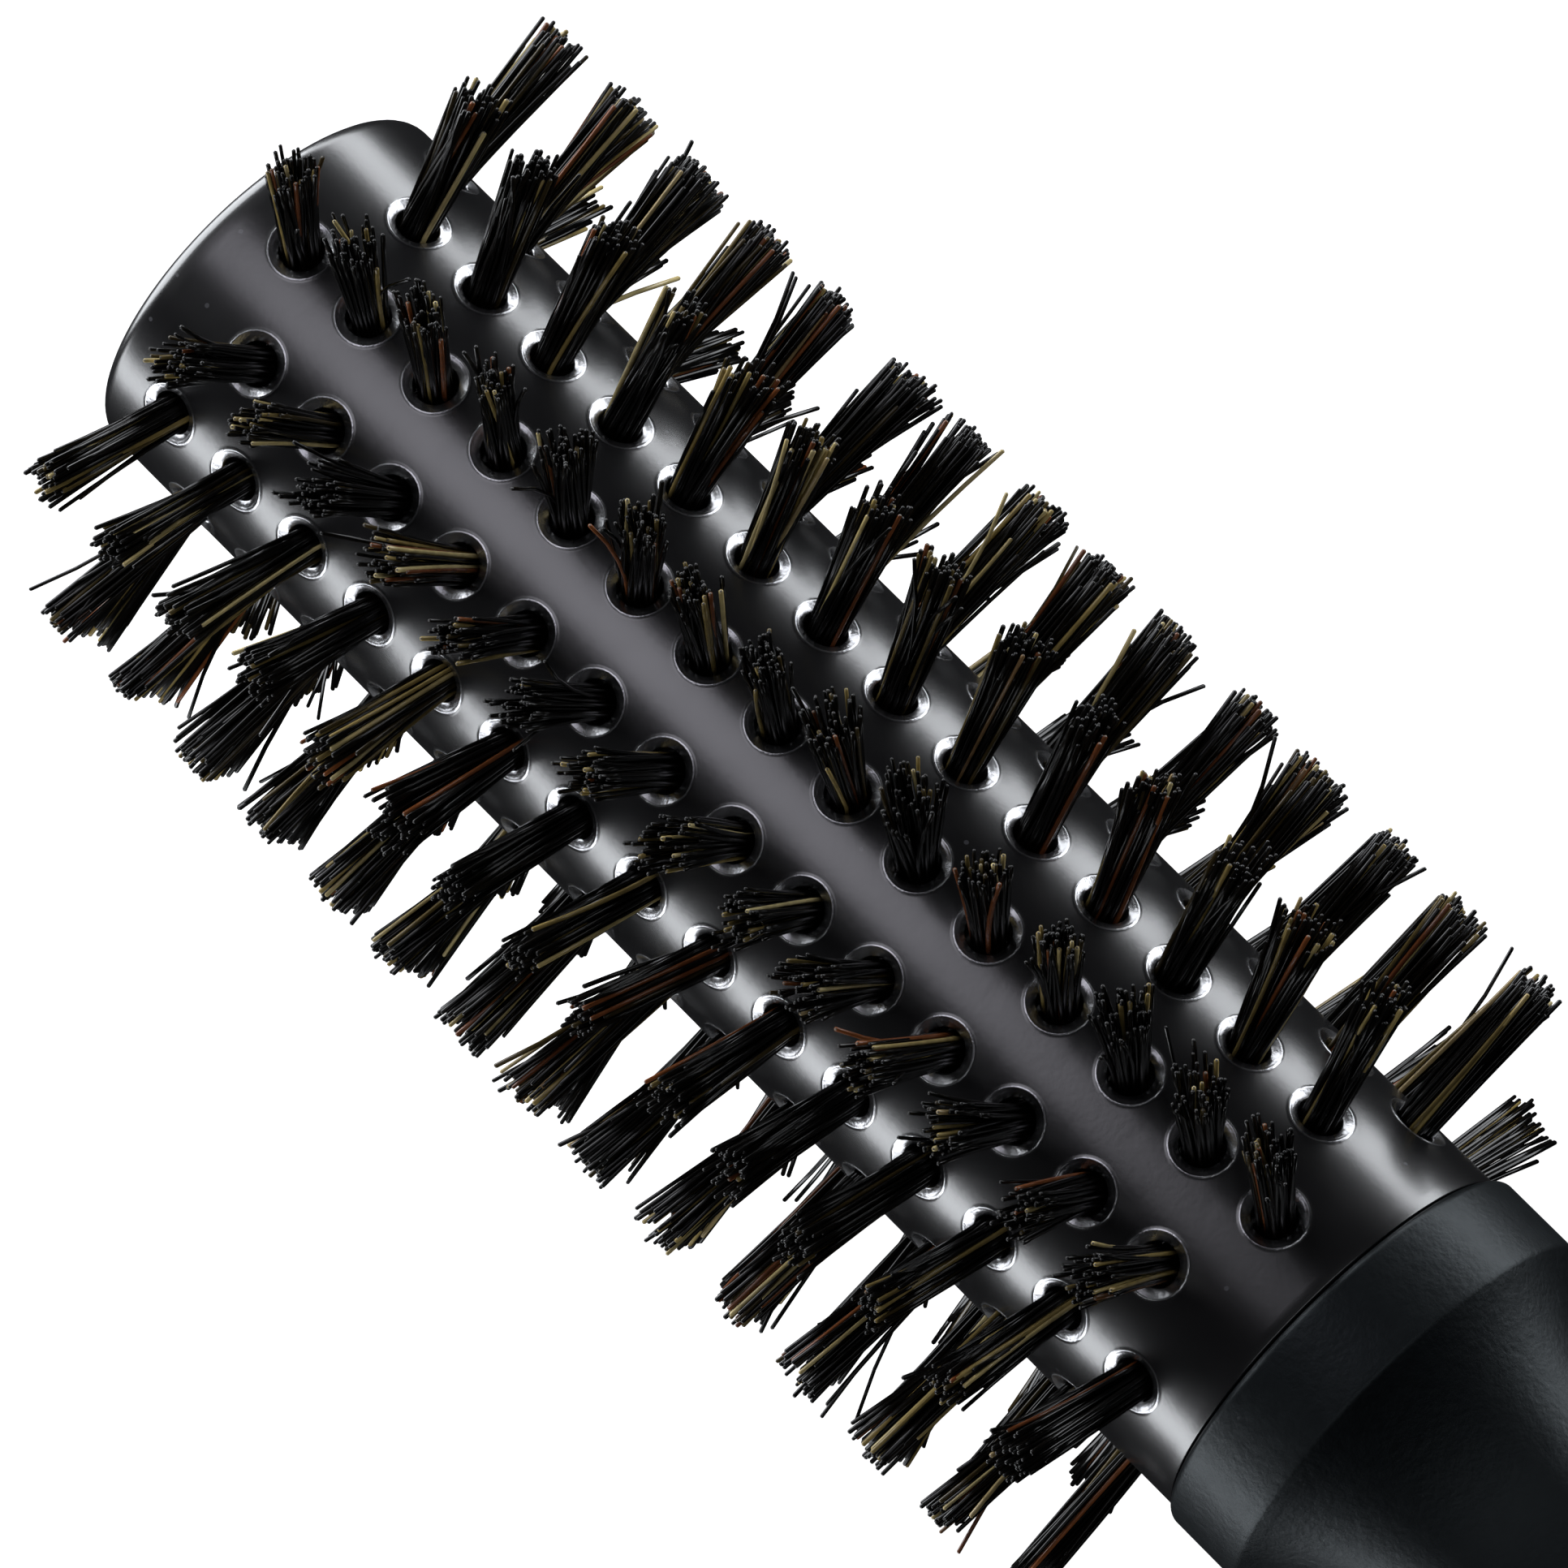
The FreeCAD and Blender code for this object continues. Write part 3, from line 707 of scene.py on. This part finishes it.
floorLook = dict(size=9.0, colour=(0.86, 0.86, 0.86), shade=0.985, patches=3.0, rough=0.9,
                 glow=1.0)
coolWhite, duskWhite = (0.93, 0.96, 1.0), (0.90, 0.885, 0.98)
lightPlan = {  # upright panels round the brush, all facing its axis
    "leftBank": dict(azimuth=175.5, distance=0.46, low=-0.75, high=0.34, width=0.186,
                     brightness=6.1, colour=coolWhite),
    "rightBank": dict(azimuth=3.2, distance=0.46, low=-0.35, high=0.34, width=0.156,
                      brightness=6.8, colour=coolWhite),
    "frontCard": dict(azimuth=268.5, distance=0.35, low=-0.140, high=-0.014, width=0.160,
                      brightness=2.6, colour=duskWhite),
    "lowCard": dict(azimuth=267.5, distance=0.45, low=-0.46, high=-0.25, width=0.800,
                    brightness=0.3, colour=coolWhite),
    "topCard": dict(azimuth=267.5, distance=0.45, low=0.214, high=0.289, width=0.700,
                    brightness=2.0, colour=coolWhite),
}
underPanel = dict(centre=(0.0, -0.11, -0.60), size=(0.80, 0.62), brightness=7.0, colour=coolWhite)


def makeFloor(look):
    # One square at height 0. It is seen by the camera only, and doesn't light the brush.
    half = look["size"] / 2
    corners = np.array([[-half, -half, 0], [half, -half, 0], [half, half, 0], [-half, half, 0]])
    material, tree, shader = newMaterial("paleFloor")
    place = node(tree, "ShaderNodeTexCoord")
    noise = node(tree, "ShaderNodeTexNoise", Scale=look["patches"], Detail=2.0)
    patchLow, patchHigh = patchRange
    shaded = tuple(channel * look["shade"] for channel in look["colour"])
    tint = ramp(tree, [(patchLow, shaded), (patchHigh, look["colour"])])
    tree.links.new(place.outputs["Object"], noise.inputs["Vector"])
    tree.links.new(noise.outputs["Fac"], tint.inputs[0])
    tree.links.new(tint.outputs[0], shader.inputs["Base Color"])
    shader.inputs["Roughness"].default_value = look["rough"]
    shader.inputs["Emission Color"].default_value = (1, 1, 1, 1)
    shader.inputs["Emission Strength"].default_value = look["glow"]
    floor = makePiece("paleFloor", corners, [np.array([[0, 1, 2, 3]])], (material,))
    floor.visible_glossy = False
    floor.visible_diffuse = False
    floor.visible_shadow = False


def makePanel(name, place, facing, size, brightness, colour):
    # One rectangular lamp; power = brightness * pi * area.
    lamp = bpy.data.lights.new(name, "AREA")
    lamp.shape = "RECTANGLE"
    lamp.size, lamp.size_y = size
    lamp.energy = brightness * math.pi * size[0] * size[1]
    lamp.color = colour
    holder = bpy.data.objects.new(name, lamp)
    holder.location = place
    holder.rotation_euler = facing.to_track_quat("-Z", "Y").to_euler()
    holder.visible_camera = False
    bpy.context.scene.collection.objects.link(holder)


def makeLights(plan, under):
    # Each upright panel stands at its azimuth and distance from the brush's axis, from low to
    # high, and faces the axis. The panel underneath faces up.
    for name, panel in plan.items():
        angle = math.radians(panel["azimuth"])
        outward = Vector((math.cos(angle), math.sin(angle), 0))
        middle = Vector((0, 0, (panel["low"] + panel["high"]) / 2))
        makePanel(name, outward * panel["distance"] + middle, -outward,
                  (panel["width"], panel["high"] - panel["low"]), panel["brightness"], panel["colour"])
    makePanel("underPanel", under["centre"], Vector((0, 0, 1)), under["size"],
              under["brightness"], under["colour"])


worldLook = dict(fill=(0.007, 0.007, 0.0075), backdrop=(1, 1, 1))


def makeWorld(look):
    # White where the camera sees it, and a faint fill for everything else.
    world = bpy.data.worlds.new("studio")
    world.use_nodes = True
    tree = world.node_tree
    sky = tree.nodes["Background"]
    path = node(tree, "ShaderNodeLightPath")
    shade = node(tree, "ShaderNodeMix", data_type="RGBA")
    shade.inputs[6].default_value = (*look["fill"], 1)
    shade.inputs[7].default_value = (*look["backdrop"], 1)
    tree.links.new(path.outputs["Is Camera Ray"], shade.inputs[0])
    tree.links.new(shade.outputs[2], sky.inputs["Color"])
    bpy.context.scene.world = world


cameraPlan = dict(place=(-0.026444, -0.614778, 0.238246), aim=(-0.000583, 0.0000245, 0.049138),
                  roll=134.869, lens=234.34, sensor=36, clip=(0.01, 20))


def makeCamera(plan):
    # The camera stands at its place, looks at its aim, and is rolled about its view.
    lens = bpy.data.cameras.new("camera")
    lens.lens = plan["lens"]
    lens.sensor_width = plan["sensor"]
    lens.clip_start, lens.clip_end = plan["clip"]
    camera = bpy.data.objects.new("camera", lens)
    place, aim = Vector(plan["place"]), Vector(plan["aim"])
    look = (aim - place).to_track_quat("-Z", "Y").to_matrix()
    roll = Matrix.Rotation(math.radians(plan["roll"]), 3, "Z")
    camera.matrix_world = Matrix.Translation(place) @ (look @ roll).to_4x4()
    bpy.context.scene.collection.objects.link(camera)
    bpy.context.scene.camera = camera


makeFloor(floorLook)
makeLights(lightPlan, underPanel)
makeWorld(worldLook)
makeCamera(cameraPlan)
bpy.context.scene.view_settings.view_transform = "Standard"
print("floor, light and camera")
